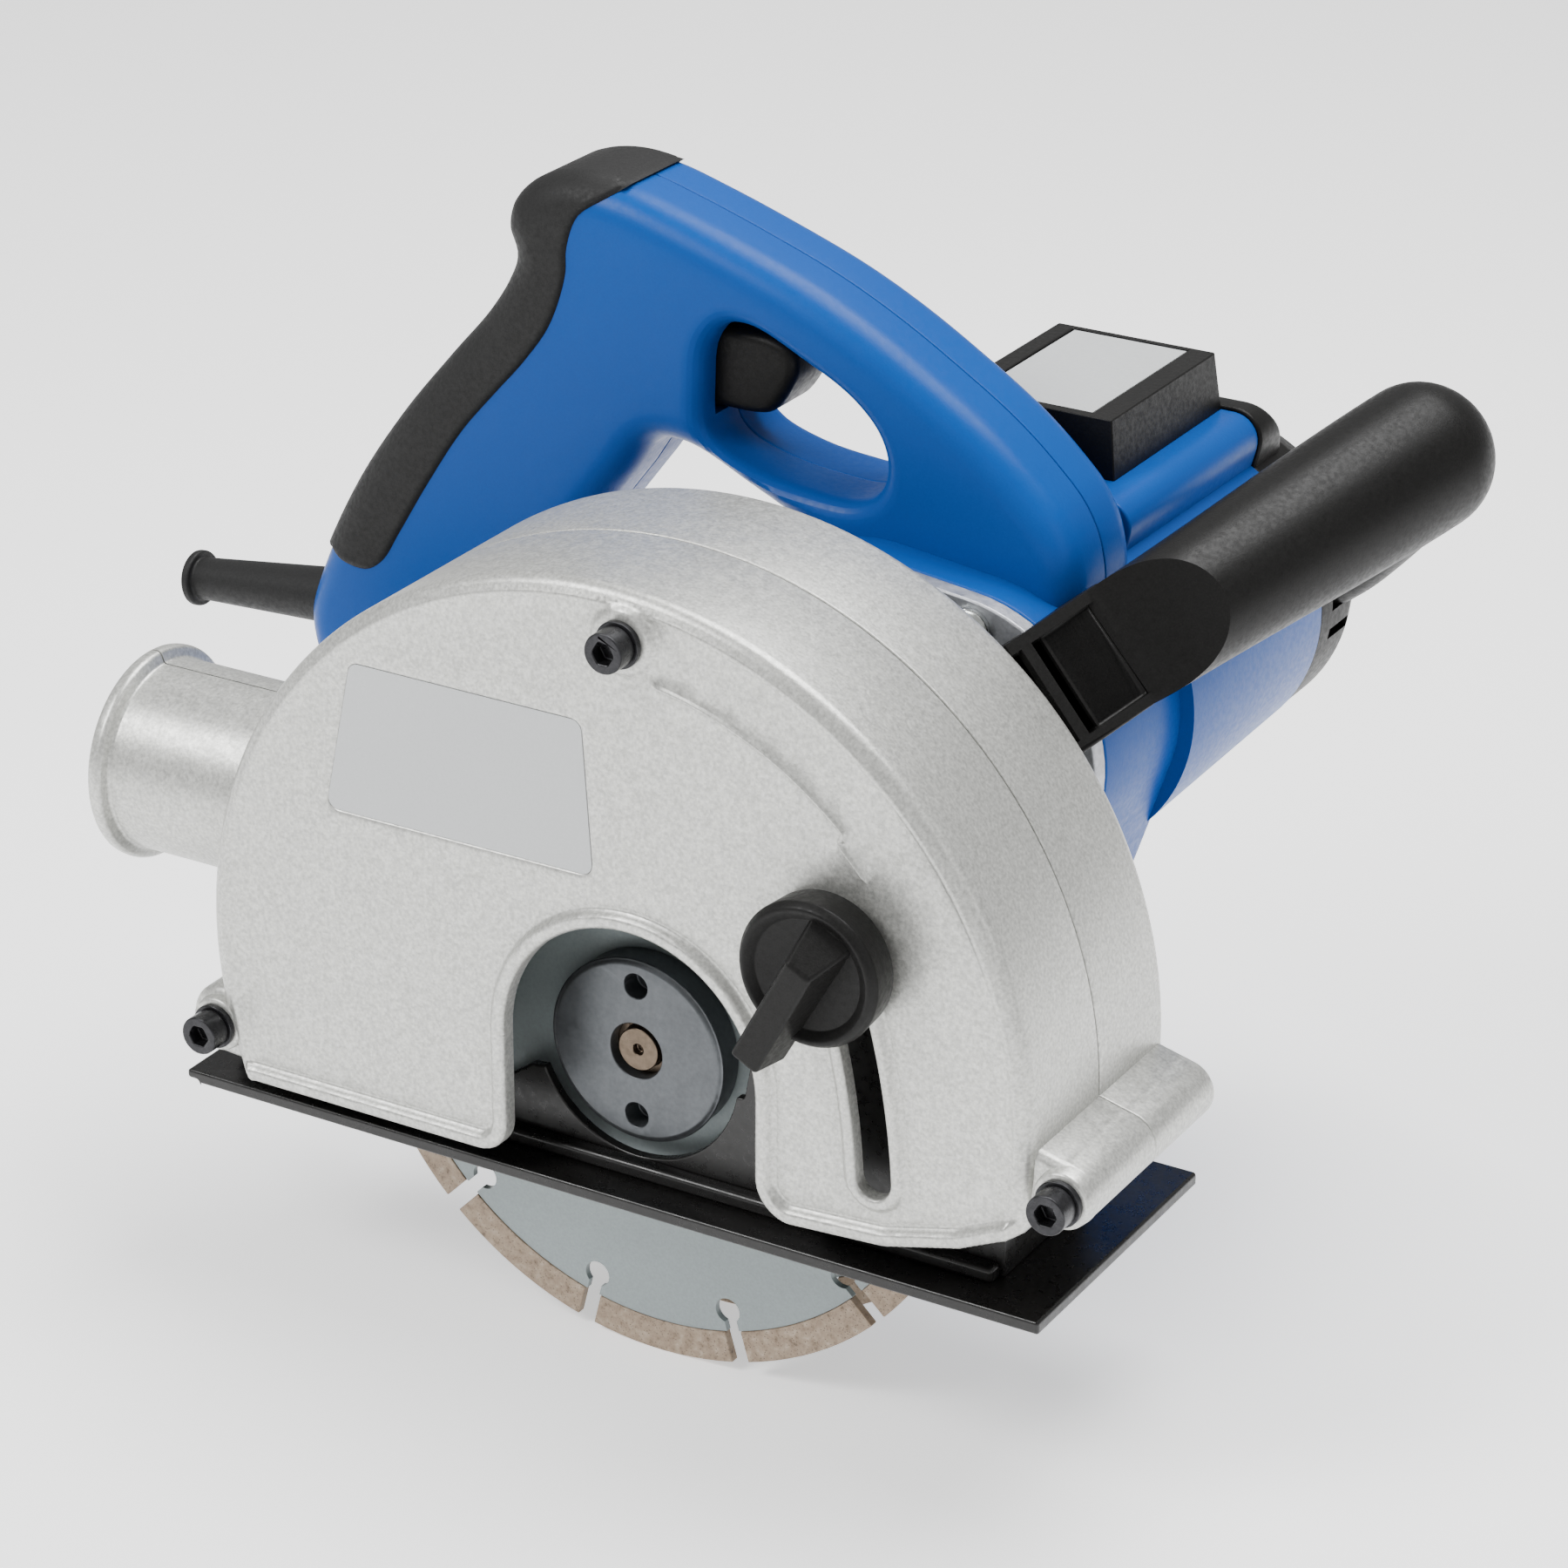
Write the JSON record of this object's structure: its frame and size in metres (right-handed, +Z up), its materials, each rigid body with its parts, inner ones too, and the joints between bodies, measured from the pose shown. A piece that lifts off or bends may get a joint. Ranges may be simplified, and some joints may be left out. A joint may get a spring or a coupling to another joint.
{
  "type": "wall chaser",
  "caption": "Hand-held wall chaser: twin diamond blades in a half-round guard with dust port, swinging depth base, geared motor, D-handle with trigger and front grip.",
  "frame": {"origin": "on the spindle axis, at the outer face of the blades' flange nut", "axes": "+X forwards along the cut, away from the dust port; +Y along the spindle from the cover towards the motor; +Z up from the base"},
  "size_m": [0.2933, 0.2229, 0.236],
  "materials": {
    "silver_paint": "sprayed silver with a fine metallic grain",
    "cast_alloy": "die-cast, lightly blasted",
    "blue_plastic": "moulded, fine satin grain",
    "black_plastic": "moulded, fine spark-eroded grain",
    "soft_grip": "matte overmould",
    "black_coat": "black powder coat over steel",
    "blade_steel": "grey lacquer over steel",
    "diamond_bond": "sintered, gritty",
    "dark_steel": "turned and blackened",
    "spindle_steel": "turned, warm oxide tone",
    "bright_steel": "ground",
    "black_screw": "black oxide",
    "zinc": "zinc plated",
    "copper": "enamelled winding",
    "carbon": "graphite",
    "brass_fitting": "pressed",
    "label": "blank printed-label stock",
    "circuit": "potted circuit board"
  },
  "bodies": {
    "machine": {"guard_cover": "silver_paint", "guard_housing": "silver_paint", "label_plate": "label", "cover_screws": "black_screw", "cover_screw_washers": "black_screw", "pivot_bolt": "black_screw", "pivot_spacer": "bright_steel", "pivot_nut": "black_screw", "gear_train_bearings": "bright_steel", "gear_case": "cast_alloy", "gear_case_screws": "zinc", "gear_mid_plate": "cast_alloy", "motor_bearing_plate": "cast_alloy", "motor_housing": "blue_plastic", "end_cap": "black_plastic", "end_cap_screws": "black_screw", "stator_core": "bright_steel", "field_coils": "copper", "armature_bearings": "bright_steel", "carbon_brushes": "carbon", "brush_holders": "brass_fitting", "control_box": "black_plastic", "control_box_label": "label", "control_module": "circuit", "handle_near_shell": "blue_plastic", "handle_far_shell": "blue_plastic", "grip_overmould": "soft_grip", "handle_screws": "black_screw", "switch_body": "black_plastic", "trigger_spring": "bright_steel", "strain_relief": "soft_grip", "cord_clamp": "black_plastic", "front_handle": "black_plastic", "front_handle_screw": "zinc"},
    "spindle_unit": {"spindle": "spindle_steel", "output_gear": "bright_steel", "inner_flange": "dark_steel", "blade_spacers": "dark_steel", "near_blade_core": "blade_steel", "near_blade_segments": "diamond_bond", "far_blade_core": "blade_steel", "far_blade_segments": "diamond_bond", "flange_nut": "dark_steel"},
    "layshaft_unit": {"layshaft": "bright_steel", "layshaft_pinion": "bright_steel", "layshaft_gear": "bright_steel"},
    "armature": {"armature_shaft": "bright_steel", "armature_core": "bright_steel", "armature_windings": "copper", "commutator": "copper", "cooling_fan": "black_plastic", "motor_pinion": "bright_steel"},
    "base": {"base_plate": "black_coat", "base_bracket": "black_coat", "base_rear_ear": "black_coat", "depth_clamp_bolt": "black_screw", "depth_clamp_sleeve": "bright_steel", "depth_clamp_washer": "bright_steel"},
    "depth_knob": {"depth_knob": "black_plastic"},
    "trigger": {"trigger": "black_plastic"}
  },
  "joints": [
    {"name": "spindle_spin", "type": "hinge", "parent": "machine", "child": "spindle_unit", "pos_m": [0, 0, 0], "axis": [0, 1, 0], "continuous": true},
    {"name": "layshaft_spin", "type": "hinge", "parent": "machine", "child": "layshaft_unit", "pos_m": [0.02113, 0.06, 0.02303], "axis": [0, 1, 0], "continuous": true},
    {"name": "armature_spin", "type": "hinge", "parent": "machine", "child": "armature", "pos_m": [0.043, 0.12, 0.058], "axis": [0, 1, 0], "continuous": true},
    {"name": "base_swing", "type": "hinge", "parent": "machine", "child": "base", "pos_m": [-0.097, 0.02, -0.013], "axis": [0, 1, 0], "range_deg": [0, 17]},
    {"name": "knob_turn", "type": "hinge", "parent": "base", "child": "depth_knob", "pos_m": [0.0555, -0.021, 0.04311], "axis": [0, 1, 0], "range_deg": [-120, 0]},
    {"name": "trigger_slide", "type": "slide", "parent": "machine", "child": "trigger", "axis": [-1, 0, 0], "range_m": [0, 0.005], "stiffness_N_per_m": 900, "springref_m": -0.004, "deforming": ["trigger_spring"]}
  ],
  "couplings": [
    {"joint": "layshaft_spin", "follows": "spindle_spin", "ratio": -1.5},
    {"joint": "armature_spin", "follows": "spindle_spin", "ratio": 8.4}
  ]
}
